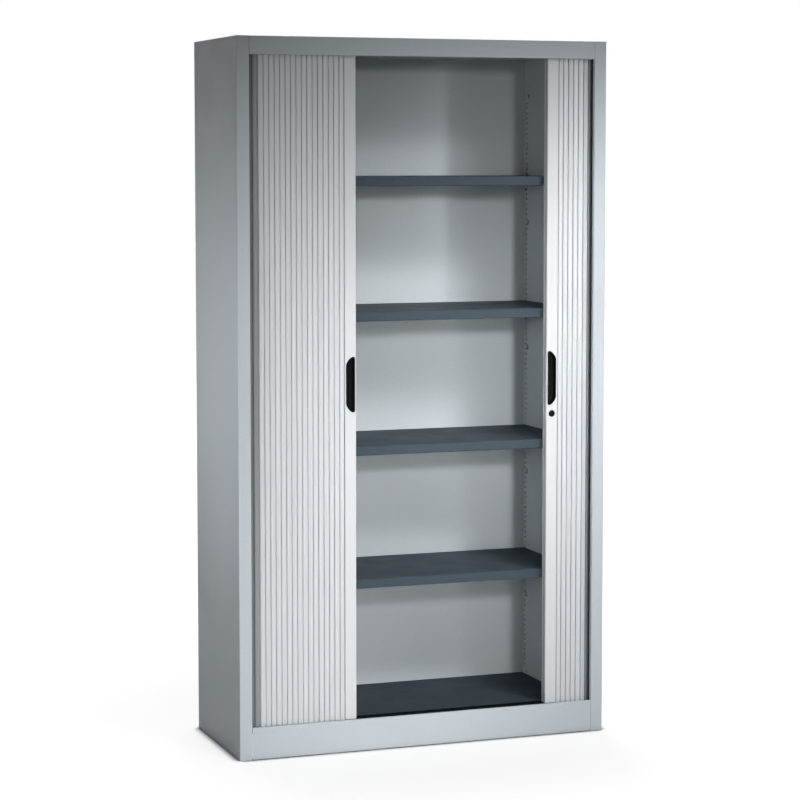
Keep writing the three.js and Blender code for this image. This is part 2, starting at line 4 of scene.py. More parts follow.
import bpy
import numpy as np
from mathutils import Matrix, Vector


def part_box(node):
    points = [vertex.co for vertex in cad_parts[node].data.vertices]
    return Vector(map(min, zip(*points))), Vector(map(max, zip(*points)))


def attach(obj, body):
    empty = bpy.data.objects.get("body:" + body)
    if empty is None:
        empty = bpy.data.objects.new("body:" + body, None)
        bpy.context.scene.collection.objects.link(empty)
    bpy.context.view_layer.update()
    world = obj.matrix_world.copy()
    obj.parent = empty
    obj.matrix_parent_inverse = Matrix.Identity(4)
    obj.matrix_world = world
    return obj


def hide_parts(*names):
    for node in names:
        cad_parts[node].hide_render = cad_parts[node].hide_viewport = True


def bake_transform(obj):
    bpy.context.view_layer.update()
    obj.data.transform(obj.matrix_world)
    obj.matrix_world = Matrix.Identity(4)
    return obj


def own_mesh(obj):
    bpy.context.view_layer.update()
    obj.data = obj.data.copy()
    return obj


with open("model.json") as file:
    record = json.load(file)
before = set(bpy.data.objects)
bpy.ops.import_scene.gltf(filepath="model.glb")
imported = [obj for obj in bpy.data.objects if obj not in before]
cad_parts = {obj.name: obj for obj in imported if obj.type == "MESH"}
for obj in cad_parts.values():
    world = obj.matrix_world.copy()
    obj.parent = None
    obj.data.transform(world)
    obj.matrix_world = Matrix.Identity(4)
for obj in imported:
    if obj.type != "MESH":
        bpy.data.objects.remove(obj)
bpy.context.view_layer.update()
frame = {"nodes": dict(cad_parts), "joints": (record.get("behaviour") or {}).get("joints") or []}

bl_info = {
    "name": "Tambour door cabinet",
    "version": (1, 0, 0),
    "blender": (4, 5, 0),
    "location": "View3D > Sidebar > Cabinet",
    "description": "Dresses a tambour door cabinet and sets up its studio",
    "category": "Object",
}

SIDES = {"left": -1.0, "right": 1.0}

# Door sizes, in metres, as the solids have them
SLAT_PITCH = 0.0154
SLAT_THICKNESS = 0.0065
SEAT_GAP = 0.0003
TURN_RADIUS = 0.045
WEB_RADIUS = TURN_RADIUS - SLAT_THICKNESS
TURN_LENGTH = WEB_RADIUS * math.pi / 2
DOOR_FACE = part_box("right_front_curtain")[0].y
TURN_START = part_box("right_pocket_curtain")[0].x - SEAT_GAP / 2
SLAT_LEVELS = (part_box("right_front_curtain")[0].z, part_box("right_front_curtain")[1].z)
LEAD_WIDTH = 0.033
# First slat of each pocket stretch that is darkened with painted shade, and how many of the shaded ones stand
# in the turn
FIRST_SHADED = {"left": 0, "right": 1}
TURN_SLATS = 4


def joint_range(name):
    """Lowest and highest value of one joint, as the record states them."""
    joint = next(joint for joint in frame["joints"] if joint["name"] == name)
    return joint["range_m"]


# Settings a user would change


class CabinetDoorSettings(bpy.types.PropertyGroup):
    """Fine shape of the doors."""

    groove_width: bpy.props.FloatProperty(
        name="Groove width", description="Gap between two slats at their faces",
        default=0.0022, unit="LENGTH")
    shoulder: bpy.props.FloatProperty(
        name="Slat shoulder", description="Radius of the rounded long edges of a slat",
        default=0.0011, unit="LENGTH")
    crown: bpy.props.FloatProperty(
        name="Slat crown", description="How far the middle of a slat's face stands proud of its edges",
        default=0.0005, unit="LENGTH")
    lead_seam: bpy.props.FloatProperty(
        name="Lead seam",
        description="How far the first slat's near shoulder is set back from the lead profile",
        default=0.0012, unit="LENGTH")
    web_thickness: bpy.props.FloatProperty(
        name="Hinge web", description="Thickness of the web that joins the slats",
        default=0.0014, unit="LENGTH")
    tuck: bpy.props.FloatProperty(
        name="Tuck",
        description="How far a stretch that slides into another lies behind its face, past the crown",
        default=0.00055, unit="LENGTH")
    clearance: bpy.props.FloatProperty(
        name="Clearance", description="Room left round a stretch that slides into another",
        default=0.0001, unit="LENGTH")
    # Painted shade: the slats in the turn, where the stile's shadow falls, are darkened by this factor
    turn_shade: bpy.props.FloatProperty(
        name="Tone in the turn", description="Tone of the dusty slats that stand in the turn",
        default=0.42, subtype="FACTOR")
    # Painted shade: the slats deeper in the pocket, seen only through the clip slots, are darkened further by
    # this share
    pocket_shade: bpy.props.FloatProperty(
        name="Tone in the pocket",
        description="Share of that tone in the pocket, which only the clip slots show",
        default=0.08, subtype="FACTOR")
    tone_spread: bpy.props.FloatProperty(
        name="Slat tone spread", description="Share by which one slat is darker than the next",
        default=0.03, subtype="FACTOR")


class CabinetFinishSettings(bpy.types.PropertyGroup):
    """Colours of the cabinet's finishes."""

    body_silver: bpy.props.FloatVectorProperty(
        name="Body silver", description="Powder coat of the casing",
        default=(0.508, 0.555, 0.588), subtype="COLOR")
    inner_silver: bpy.props.FloatVectorProperty(
        name="Inner silver", description="Powder coat of the inner walls",
        default=(0.57, 0.615, 0.64), subtype="COLOR")
    slat_silver: bpy.props.FloatVectorProperty(
        name="Slat silver", description="Satin plastic of the door slats",
        default=(0.595, 0.62, 0.64), subtype="COLOR")
    lead_silver: bpy.props.FloatVectorProperty(
        name="Lead silver", description="Satin anodised lead profiles",
        default=(0.62, 0.637, 0.652), subtype="COLOR")
    anthracite: bpy.props.FloatVectorProperty(
        name="Anthracite", description="Powder coat of the shelves",
        default=(0.052, 0.072, 0.088), subtype="COLOR")
    black: bpy.props.FloatVectorProperty(
        name="Black", description="Moulded plastic of handles, tracks and lock ring",
        default=(0.006, 0.0065, 0.007), subtype="COLOR")
    zinc: bpy.props.FloatVectorProperty(
        name="Zinc", description="Zinc plated clips, bolt and keeper",
        default=(0.62, 0.63, 0.64), subtype="COLOR")
    nickel: bpy.props.FloatVectorProperty(
        name="Dark nickel", description="Dark nickel plated lock cylinder",
        default=(0.02, 0.02, 0.019), subtype="COLOR")


class CabinetStudioSettings(bpy.types.PropertyGroup):
    """Camera, lamps and floor."""

    camera_place: bpy.props.FloatVectorProperty(
        name="Camera place", description="Where the camera stands",
        default=(-2.3892, -6.5615, 1.6530), subtype="XYZ", unit="LENGTH")
    camera_turn: bpy.props.FloatProperty(
        name="Camera turn", description="How far the camera looks to the right of straight back",
        default=math.radians(20.013), subtype="ANGLE")
    camera_tilt: bpy.props.FloatProperty(
        name="Camera tilt", description="How far the camera looks down",
        default=math.radians(4.739), subtype="ANGLE")
    lens: bpy.props.FloatProperty(
        name="Lens", description="Focal length on a 36 mm wide sensor, in millimetres",
        default=109.91)
    shift: bpy.props.FloatProperty(
        name="Lens shift", description="Upward shift of the lens, as a share of the frame",
        default=-0.05)
    lamp_level: bpy.props.FloatProperty(
        name="Lamp level", description="Share of the lamps' written power", default=1.0, subtype="FACTOR")
    world_level: bpy.props.FloatProperty(
        name="Ambient level", description="Strength of the even light from all round",
        default=0.05)


# Mesh helpers


def new_object(name, vertices, faces, sharp_degrees=35.0):
    """Puts arrays of points and faces into a new object at the origin, smooth but for sharp edges."""
    mesh = bpy.data.meshes.new(name)
    mesh.from_pydata(np.asarray(vertices, float).tolist(), [], faces)
    mesh.polygons.foreach_set("use_smooth", np.ones(len(mesh.polygons), bool))
    mesh.update()
    mesh.set_sharp_from_angle(angle=math.radians(sharp_degrees))
    piece = bpy.data.objects.new(name, mesh)
    bpy.context.scene.collection.objects.link(piece)
    return piece


def prism(name, outline, cells, low, high):
    """Closed prism: an outline in plan (X, Y), anticlockwise, carried from low to high.
    Its ends are covered by cells, which are lists of outline indices."""
    count = len(outline)
    bottom = np.column_stack([outline, np.full(count, low)])
    top = np.column_stack([outline, np.full(count, high)])
    here = np.arange(count)
    after = np.roll(here, -1)
    walls = np.column_stack([here, after, after + count, here + count]).tolist()
    floors = [list(reversed(cell)) for cell in cells]
    roofs = [[index + count for index in cell] for cell in cells]
    return new_object(name, np.vstack([bottom, top]), walls + floors + roofs)


def lofted(name, rows):
    """Closed body through rings of points: every ring is joined to the next, and both ends are capped."""
    rows = np.asarray(rows, float)
    ring_count, points = rows.shape[:2]
    index = np.arange(ring_count * points).reshape(ring_count, points)
    after = np.roll(index, -1, axis=1)
    quads = np.stack([index[:-1], after[:-1], after[1:], index[1:]], axis=-1).reshape(-1, 4).tolist()
    ends = [index[0][::-1].tolist(), index[-1].tolist()]
    return new_object(name, rows.reshape(-1, 3), quads + ends)


def ring_of_revolution(name, profile, centre, segments):
    """Body of revolution about an axis along Y: a closed profile of (radius, y) turned full circle."""
    profile = np.asarray(profile, float)
    angle = np.linspace(0.0, 2 * math.pi, segments, endpoint=False)
    radius = profile[:, 0][None, :]
    points = np.stack([
        centre[0] + radius * np.cos(angle)[:, None],
        centre[1] + np.broadcast_to(profile[:, 1][None, :], (segments, len(profile))),
        centre[2] + radius * np.sin(angle)[:, None],
    ], axis=-1)
    index = np.arange(segments * len(profile)).reshape(segments, -1)
    right = np.roll(index, -1, axis=0)
    up = np.roll(index, -1, axis=1)
    corner = np.roll(right, -1, axis=1)
    quads = np.stack([index, right, corner, up], axis=-1).reshape(-1, 4).tolist()
    return new_object(name, points.reshape(-1, 3), quads)


# Material helpers

# Most values of a noise texture lie in this span
NOISE_SPAN = (0.3, 0.7)
DUST_HEIGHT = 0.35


def node(tree, kind, **inputs):
    """Adds a node and sets its inputs: plain values are set, sockets are linked."""
    made = tree.nodes.new(kind)
    for label, value in inputs.items():
        socket = made.inputs[label.replace("_", " ")]
        if isinstance(value, bpy.types.NodeSocket):
            tree.links.new(value, socket)
        else:
            socket.default_value = value
    return made


def noise(tree, place, scale, detail=2.0, stretch=(1.0, 1.0, 1.0)):
    """Noise on object coordinates, optionally stretched, as a value from 0 to 1."""
    mapping = node(tree, "ShaderNodeMapping", Vector=place, Scale=stretch)
    made = node(tree, "ShaderNodeTexNoise", Vector=mapping.outputs["Vector"], Scale=scale, Detail=detail)
    return made.outputs["Fac"]


def ranged(tree, value, low, high, source=(0.0, 1.0)):
    """Maps a value from its source range to low and high."""
    made = node(tree, "ShaderNodeMapRange", Value=value)
    made.inputs["From Min"].default_value, made.inputs["From Max"].default_value = source
    made.inputs["To Min"].default_value, made.inputs["To Max"].default_value = low, high
    return made.outputs["Result"]


def product(tree, first, second):
    """Product of two values or sockets."""
    made = node(tree, "ShaderNodeMath")
    made.operation = "MULTIPLY"
    for socket, value in zip(made.inputs, (first, second)):
        if isinstance(value, bpy.types.NodeSocket):
            tree.links.new(value, socket)
        else:
            socket.default_value = value
    return made.outputs["Value"]


def toned(tree, colour, tone):
    """A colour made lighter or darker by a tone value, where 1 leaves it as it is."""
    scale = node(tree, "ShaderNodeVectorMath")
    scale.operation = "SCALE"
    scale.inputs[0].default_value = tuple(colour)
    tree.links.new(tone, scale.inputs["Scale"])
    return scale.outputs["Vector"]


def start_material(name, metallic, specular=0.5):
    """New material with a Principled shader; returns it, its tree, shader and object coordinates."""
    material = bpy.data.materials.new(name)
    material.use_nodes = True
    tree = material.node_tree
    shader = tree.nodes["Principled BSDF"]
    shader.inputs["Metallic"].default_value = metallic
    shader.inputs["Specular IOR Level"].default_value = specular
    place = node(tree, "ShaderNodeTexCoord").outputs["Object"]
    return material, tree, shader, place


def bump(tree, shader, height, strength, distance):
    """Bump on a shader's normal; distance is the height of the relief in metres."""
    made = node(tree, "ShaderNodeBump", Height=height, Strength=strength, Distance=distance)
    tree.links.new(made.outputs["Normal"], shader.inputs["Normal"])


def powder_coat(name, colour, roughness, flake=0.05, specular=0.2):
    """Powder coat with flakes: grain at two sizes, faint clouds, orange peel and dust near the floor."""
    material, tree, shader, place = start_material(name, 0.0, specular)
    fine = ranged(tree, noise(tree, place, 950.0, 1.0), 1 - flake, 1 + flake, NOISE_SPAN)
    coarse = ranged(tree, noise(tree, place, 260.0, 2.0), 1 - flake / 2, 1 + flake / 2, NOISE_SPAN)
    grain = product(tree, fine, coarse)
    clouds = ranged(tree, noise(tree, place, 2.2, 3.0), 0.975, 1.025, NOISE_SPAN)
    tone = product(tree, grain, clouds)
    tree.links.new(toned(tree, colour, tone), shader.inputs["Base Color"])
    height = node(tree, "ShaderNodeSeparateXYZ", Vector=place).outputs["Z"]
    dust = product(tree, ranged(tree, height, 0.10, 0.0, (0.0, DUST_HEIGHT)), noise(tree, place, 38.0, 6.0))
    handling = ranged(tree, noise(tree, place, 9.0, 5.0), roughness - 0.04, roughness + 0.05, (0.35, 0.65))
    total = node(tree, "ShaderNodeMath")
    tree.links.new(dust, total.inputs[0])
    tree.links.new(handling, total.inputs[1])
    tree.links.new(total.outputs["Value"], shader.inputs["Roughness"])
    peel = noise(tree, place, 420.0, 2.0)
    bump(tree, shader, peel, 0.22, 0.00012)
    return material


def slat_finish(name, colour):
    """Satin silver plastic: long extrusion streaks along Z, and a tone of its own on every slat, which also
    carries the painted shade of the slats in the turn and in the pocket.
    """
    material, tree, shader, place = start_material(name, 0.0, 0.3)
    streak = ranged(tree, noise(tree, place, 900.0, 2.0, (1.0, 1.0, 0.012)), 0.985, 1.015, NOISE_SPAN)
    grain = ranged(tree, noise(tree, place, 1100.0, 1.0), 0.98, 1.02, NOISE_SPAN)
    attribute = tree.nodes.new("ShaderNodeAttribute")
    attribute.attribute_name = "slat_tone_and_shade"
    tone = product(tree, product(tree, streak, grain), attribute.outputs["Fac"])
    tree.links.new(toned(tree, colour, tone), shader.inputs["Base Color"])
    rough = ranged(tree, noise(tree, place, 14.0, 4.0), 0.36, 0.46, NOISE_SPAN)
    tree.links.new(rough, shader.inputs["Roughness"])
    bump(tree, shader, noise(tree, place, 800.0, 2.0, (1.0, 1.0, 0.05)), 0.12, 0.00008)
    return material


def anodised(name, colour):
    """Satin anodised aluminium with fine draw lines along Z."""
    material, tree, shader, place = start_material(name, 0.0, 0.2)
    lines = ranged(tree, noise(tree, place, 1300.0, 2.0, (1.0, 1.0, 0.01)), 0.985, 1.015, NOISE_SPAN)
    tree.links.new(toned(tree, colour, lines), shader.inputs["Base Color"])
    rough = ranged(tree, noise(tree, place, 22.0, 4.0, (1.0, 1.0, 0.2)), 0.48, 0.6, NOISE_SPAN)
    tree.links.new(rough, shader.inputs["Roughness"])
    bump(tree, shader, noise(tree, place, 1300.0, 2.0, (1.0, 1.0, 0.01)), 0.08, 0.00005)
    return material


def moulded_plastic(name, colour, roughness):
    """Black moulding: fine spark-eroded grain, rubbed smoother in patches."""
    material, tree, shader, place = start_material(name, 0.0, 0.03)
    tone = ranged(tree, noise(tree, place, 60.0, 4.0), 0.85, 1.2, NOISE_SPAN)
    tree.links.new(toned(tree, colour, tone), shader.inputs["Base Color"])
    rough = ranged(tree, noise(tree, place, 75.0, 4.0), roughness - 0.08, roughness + 0.08, NOISE_SPAN)
    tree.links.new(rough, shader.inputs["Roughness"])
    bump(tree, shader, noise(tree, place, 1500.0, 2.0), 0.25, 0.0001)
    return material


def plated(name, colour, roughness):
    """Plated metal: cloudy tone, fine random scratches in its roughness."""
    material, tree, shader, place = start_material(name, 1.0)
    tone = ranged(tree, noise(tree, place, 130.0, 5.0), 0.9, 1.06, NOISE_SPAN)
    tree.links.new(toned(tree, colour, tone), shader.inputs["Base Color"])
    scratches = noise(tree, place, 420.0, 3.0, (0.2, 1.0, 1.0))
    rough = ranged(tree, scratches, roughness, roughness + 0.15, NOISE_SPAN)
    tree.links.new(rough, shader.inputs["Roughness"])
    bump(tree, shader, noise(tree, place, 700.0, 2.0, (0.15, 1.0, 1.0)), 0.1, 0.00004)
    return material


def dress(material, *names):
    """Gives CAD nodes a material; their meshes stay as they are."""
    for name in names:
        slots = frame["nodes"][name].data.materials
        slots.clear()
        slots.append(material)


def finished_piece(piece, material, slot, body, *nodes):
    """Material, body and replaced nodes of a new piece; the record slot is not used."""
    piece.data.materials.append(material)
    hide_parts(*nodes)
    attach(piece, body)


# Doors


def path_point(along, depth):
    """Plan of the right door's path. Along is the length of hinge web from the middle of the cabinet,
    depth the distance behind the face: straight to TURN_START, a quarter circle, straight to the back."""
    along, depth = np.broadcast_arrays(np.asarray(along, float), np.asarray(depth, float))
    past = along - TURN_START
    angle = np.clip(past / WEB_RADIUS, 0.0, math.pi / 2)
    radius = TURN_RADIUS - depth
    x = np.where(past <= 0, along, TURN_START + radius * np.sin(angle))
    y = DOOR_FACE + TURN_RADIUS - radius * np.cos(angle) + np.maximum(past - TURN_LENGTH, 0.0)
    return np.stack([x, y], axis=-1)


# Points of a slat's profile: on one shoulder, across its face, and on one flank with its shoulder
SHOULDER_POINTS = 5
FACE_POINTS = 7
SLAT_FLANK = SHOULDER_POINTS + 1


def slat_profile(settings, sunk):
    """Front of one slat as (offset from its middle, depth): up one side, round a quarter circle, over a
    face crowned as a parabola, and down again."""
    half = (SLAT_PITCH - settings.groove_width) / 2
    flank = half - settings.shoulder
    turn = np.linspace(0.0, math.pi / 2, SHOULDER_POINTS)
    side = np.column_stack([flank + settings.shoulder * np.cos(turn),
                            sunk + settings.crown + settings.shoulder * (1 - np.sin(turn))])
    offset = np.linspace(-flank, flank, FACE_POINTS)[1:-1]
    face = np.column_stack([offset, sunk + settings.crown * (offset / flank) ** 2])
    web = SLAT_THICKNESS - settings.web_thickness
    return np.vstack([[-half, web], side * [-1, 1], face, side[::-1], [half, web]])


def standing(place, middles, half, offset, depth):
    """Rigid slats: each stands square on the chord between its two hinge lines on the path."""
    near = place(middles - half, SLAT_THICKNESS)
    far = place(middles + half, SLAT_THICKNESS)
    along = (far - near) / np.linalg.norm(far - near, axis=1, keepdims=True)
    outward = np.column_stack([along[:, 1], -along[:, 0]])
    foot = (near + far) / 2
    return (foot[:, None] + along[:, None] * offset[None, :, None]
            + outward[:, None] * (SLAT_THICKNESS - depth)[None, :, None]).reshape(-1, 2)


def curtain(name, side, start, count, sunk=0.0, place=path_point, rigid=True, seed=0, shaded=slice(0, 0),
            seam=0.0):
    """Slats on their hinge web. Every slat is the same profile, moved on by the pitch and set on the
    path; the outline runs along all fronts and back along the web, and is carried up as a prism. A sunk
    stretch is a little shorter too, so that it lies inside the one that it slides into."""
    settings = bpy.context.scene.cabinet_doors
    profile = slat_profile(settings, sunk)
    front_count = len(profile)
    half = (SLAT_PITCH - settings.groove_width) / 2
    web = SLAT_THICKNESS - settings.web_thickness
    back_depth = SLAT_THICKNESS - sunk / 2
    middles = start + SLAT_PITCH * (np.arange(count) + 0.5)
    backs = np.array([[-half, back_depth], [half, back_depth]])
    first = start + SEAT_GAP / 2
    last = start + count * SLAT_PITCH - SEAT_GAP / 2
    ends = place(np.array([first, last, last, first]), np.array([web, web, back_depth, back_depth]))
    if rigid:
        fronts, hinges = (standing(place, middles, half, *points.T) for points in (profile, backs))
    else:
        fronts, hinges = (place((middles[:, None] + points[:, 0]).ravel(), np.tile(points[:, 1], count))
                          for points in (profile, backs))
    fronts[:SLAT_FLANK, 0] += seam
    outline = np.vstack([ends[:1], fronts, ends[1:3], hinges[::-1], ends[3:]])
    outline[:, 0] *= side
    total = len(outline)
    cells = [[0, 1, total - 2, total - 1]]
    for slat in range(count):
        front = list(range(1 + slat * front_count, 1 + (slat + 1) * front_count))
        back = [total - 2 - 2 * slat, total - 3 - 2 * slat]
        cells.append(front + [back[1], back[0]])
        if slat + 1 < count:
            cells.append([front[-1], front[-1] + 1, back[1] - 1, back[1]])
    end = 1 + count * front_count
    cells.append([end - 1, end, end + 1, end + 2])
    slats = np.concatenate([[0], np.repeat(np.arange(count), front_count), [count, count],
                            np.repeat(np.arange(count), 2)[::-1], [0]])
    if side < 0:
        outline = outline[::-1].copy()
        slats = slats[::-1]
        cells = [[total - 1 - index for index in reversed(cell)] for cell in cells]
    inset = settings.clearance if sunk else 0.0
    piece = prism(name, outline, cells, SLAT_LEVELS[0] + inset, SLAT_LEVELS[1] - inset)
    paint_slats(piece, slats, settings, seed, shaded)
    return piece


def paint_slats(piece, slats, settings, seed, shaded):
    """Point attribute that gives every slat its own tone, from a seeded draw, and darkens the shaded ones with
    painted shade: those in the turn by the turn factor, those deeper in the pocket further still.
    """
    tones = 1 - settings.tone_spread * np.random.default_rng(seed).random(slats.max() + 1)
    # Painted shade on the slats in the turn and, darker still, on those deeper in the pocket
    tones[shaded] *= settings.turn_shade
    tones[shaded][TURN_SLATS:] *= settings.pocket_shade
    attribute = piece.data.attributes.new("slat_tone_and_shade", "FLOAT", "POINT")
    attribute.data.foreach_set("value", np.tile(tones[slats], 2).astype(np.float32))


# Steps of the table that places the waiting slats
TABLE_POINTS = 20001


def waiting_place(travel, window):
    """Path for slats that come out as a door closes. Closed, they stand at their pitch along the front.
    At rest each point waits at x, where x - travel * w(x) is its closed place and w falls smoothly
    from 1 to 0 across the window; the table of x against closed place is read the other way round."""
    near, far = window
    rest = np.linspace(near - SLAT_PITCH, far + SLAT_PITCH, TABLE_POINTS)
    share = np.clip((far - rest) / (far - near), 0.0, 1.0)
    closed = rest - travel * share * share * (3 - 2 * share)

    def place(along, depth):
        return np.column_stack([np.interp(along, closed, rest), DOOR_FACE + depth])

    return place


class CABINET_OT_slats(bpy.types.Operator):
    """Front and pocket stretches of both doors, with rounded slats on a hinge web"""

    bl_idname = "cabinet.slats"
    bl_label = "Door slats"

    def execute(self, context):
        finish = slat_finish("slat_satin", context.scene.cabinet_finish.slat_silver)
        settings = context.scene.cabinet_doors
        for index, (name, side) in enumerate(SIDES.items()):
            low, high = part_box(f"{name}_front_curtain")
            near = min(abs(low.x), abs(high.x)) - SEAT_GAP / 2
            count = round((high.x - low.x + SEAT_GAP) / SLAT_PITCH)
            front = curtain(f"{name}_front_slats", side, near, count, seed=10 + index,
                            seam=settings.lead_seam)
            finished_piece(front, finish, "slat_plastic", f"{name}_door_front", f"{name}_front_curtain")
            stored = round((stored_length(name) + SEAT_GAP) / SLAT_PITCH)
            # The pocket stretch carries painted shade from its first shaded slat on
            pocket = curtain(f"{name}_pocket_slats", side, TURN_START, stored, seed=20 + index,
                             shaded=slice(FIRST_SHADED[name], None))
            finished_piece(pocket, finish, "slat_plastic", "carcass", f"{name}_pocket_curtain")
        low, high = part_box("left_tail_curtain")
        count = round((high.x - low.x + SEAT_GAP) / SLAT_PITCH)
        tail = curtain("left_tail_slats", -1.0, -high.x - SEAT_GAP / 2, count, sunk=settings.tuck, seed=30)
        finished_piece(tail, finish, "slat_plastic", "left_door_tail", "left_tail_curtain")
        near, far = last_slat_face(settings)
        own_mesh(tail)
        return {"FINISHED"}


def last_slat_face(settings):
    """Where the flat face of the slat next to the turn begins and ends, as distances from the middle."""
    margin = settings.groove_width / 2 + settings.shoulder
    return TURN_START - SLAT_PITCH + margin, TURN_START - margin


def stored_length(name):
    """Length of hinge web in a pocket: the quarter turn, and what its box shows behind the bend."""
    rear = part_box(f"{name}_pocket_curtain")[1].y
    return TURN_LENGTH + (rear - DOOR_FACE - TURN_RADIUS)


class CABINET_OT_waiting_slats(bpy.types.Operator):
    """Slats for each pocket, built in their rest place inside the last slat; they are not joined to a door,
    and nothing here moves them out as it closes
    """

    bl_idname = "cabinet.waiting_slats"
    bl_label = "Waiting slats"

    def execute(self, context):
        finish = bpy.data.materials["slat_satin"]
        settings = context.scene.cabinet_doors
        window = last_slat_face(settings)
        moves = {
            "left": ("left_door_close", "left_door_tail"),
            "right": ("right_door_slide", "right_door_front"),
        }
        for index, (name, (joint, body)) in enumerate(moves.items()):
            side = SIDES[name]
            travel = joint_range(joint)[1]
            count = int(travel / SLAT_PITCH)
            piece = curtain(f"{name}_waiting_slats", side, TURN_START - travel, count,
                            sunk=settings.tuck + settings.clearance, place=waiting_place(travel, window),
                            rigid=False, seed=40 + index)
            piece.data.materials.append(finish)
            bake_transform(piece)
        return {"FINISHED"}


# Handles and lock


# Handle sizes in metres, and how full the curve of its bowed corners is
HANDLE_WIDTH = 0.0235
HANDLE_HEIGHT = 0.152
HANDLE_DEPTH = 0.014
HANDLE_BOW = (0.019, 0.0245)
BOW_EXPONENT = 1.25
HANDLE_TIGHT = 0.004
HANDLE_LAP = SEAT_GAP + 0.001
HANDLE_WALL = 0.0015
HANDLE_DRAFT = 0.0004
# Roundings of the cup: outer rim, inner rim, floor, and the least at a corner
RIM_RADIUS = 0.0005
MOUTH_RADIUS = 0.0008
CUP_FLOOR_RADIUS = 0.0016
LEAST_RADIUS = 0.0005
CORNER_POINTS = 10
FILLET_POINTS = 5
# Room that fitted parts leave to what they sit in
FIT_CLEARANCE = 0.0001
# Growth of the ring that closes the cup's back
BACK_RING = -0.0035


def handle_ring(side, leading_edge, growth, y):
    """One ring of the handle: a D with flattened quarter ellipses at the two bowed corners, small quarter
    circles at the two tight ones, and every corner grown outwards by the same amount."""
    near = LEAD_WIDTH / 2 - HANDLE_WIDTH / 2 - growth
    far = LEAD_WIDTH / 2 + HANDLE_WIDTH / 2 + growth
    top = HANDLE_HEIGHT / 2 + growth
    bow_x, bow_z = HANDLE_BOW[0] + growth, HANDLE_BOW[1] + growth
    tight = max(HANDLE_TIGHT + growth, LEAST_RADIUS)
    turn = np.linspace(0.0, math.pi / 2, CORNER_POINTS)
    tight_top = np.column_stack([near + tight * (1 - np.cos(turn)), top - tight * (1 - np.sin(turn))])
    bow_top = np.column_stack([far - bow_x * (1 - np.sin(turn) ** BOW_EXPONENT),
                               top - bow_z * (1 - np.cos(turn) ** BOW_EXPONENT)])
    upper = np.vstack([tight_top, bow_top])
    lower = upper[::-1] * [1, -1]
    outline = np.vstack([upper, lower])
    low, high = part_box("left_handle")
    x = side * (leading_edge + outline[:, 0])
    z = (low.z + high.z) / 2 + outline[:, 1]
    ring = np.column_stack([x, np.full(len(outline), y), z])
    return ring if side < 0 else ring[::-1]


# Seal groove in the meeting face of a lead profile: width, depth into it, distance behind the face
SEAL_GROOVE = (0.003, 0.0022, 0.011)
SEAL_BULGE = 0.6
SEAL_POINTS = 9


class CABINET_OT_seals(bpy.types.Operator):
    """Rubber strips in the grooves of the meeting faces, each a half ellipse on a flat foot, carried up"""

    bl_idname = "cabinet.seals"
    bl_label = "Seal strips"

    def execute(self, context):
        rubber = moulded_plastic("seal_rubber", context.scene.cabinet_finish.black, 0.6)
        width, depth, place = SEAL_GROOVE
        half = width / 2 - FIT_CLEARANCE
        bulge = half * SEAL_BULGE
        turn = np.linspace(-math.pi / 2, math.pi / 2, SEAL_POINTS)
        for name, side in SIDES.items():
            low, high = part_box(f"{name}_lead_profile")
            edge = min(abs(low.x), abs(high.x))
            rim = edge + FIT_CLEARANCE + bulge
            middle = DOOR_FACE + place + width / 2
            lip = np.column_stack([rim - bulge * np.cos(turn), middle - half * np.sin(turn)])
            foot = edge + depth - FIT_CLEARANCE
            outline = np.vstack([lip, [[foot, lip[-1, 1]], [foot, lip[0, 1]]]])
            outline[:, 0] *= side
            if side < 0:
                outline = outline[::-1].copy()
            strip = prism(f"{name}_seal_strip", outline, [list(range(len(outline)))], low.z, high.z)
            strip.data.materials.append(rubber)
            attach(strip, f"{name}_door_front")
        return {"FINISHED"}


class CABINET_OT_handles(bpy.types.Operator):
    """Moulded handle cups with a rounded rim, drafted walls and a filleted floor"""

    bl_idname = "cabinet.handles"
    bl_label = "Handles"

    def execute(self, context):
        finish = moulded_plastic("handle_black", context.scene.cabinet_finish.black, 0.36)
        fillet = np.linspace(0.0, math.pi / 2, FILLET_POINTS)
        under = DOOR_FACE - SEAT_GAP
        for name, side in SIDES.items():
            low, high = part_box(f"{name}_lead_profile")
            leading_edge = min(abs(low.x), abs(high.x))
            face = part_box(f"{name}_handle")[0].y
            floor = face + FIT_CLEARANCE + HANDLE_DEPTH
            inner = floor - HANDLE_WALL
            steps = [(BACK_RING, floor), (0.0, floor), (0.0, under), (HANDLE_LAP, under)]
            steps += [(HANDLE_LAP - RIM_RADIUS * (1 - math.cos(a)), face + RIM_RADIUS * (1 - math.sin(a)))
                      for a in fillet]
            steps += [(-HANDLE_WALL + MOUTH_RADIUS - MOUTH_RADIUS * math.sin(a),
                       face + MOUTH_RADIUS * (1 - math.cos(a))) for a in fillet]
            steps += [(-HANDLE_WALL - HANDLE_DRAFT - CUP_FLOOR_RADIUS * (1 - math.cos(a)),
                       inner - CUP_FLOOR_RADIUS * (1 - math.sin(a))) for a in fillet]
            rings = [handle_ring(side, leading_edge, growth, y) for growth, y in steps]
            piece = lofted(f"{name}_handle_cup", rings)
            finished_piece(piece, finish, "black_plastic", f"{name}_door_front", f"{name}_handle")
        return {"FINISHED"}


# Lock ring: step from flange to barrel, rounding of the flange, edge of the bore, and sides of the circle
LOCK_STEP = 0.0015
FLANGE_ROUNDING = 0.0009
BORE_EDGE = 0.0004
ROUNDING_POINTS = 6
RING_SEGMENTS = 64


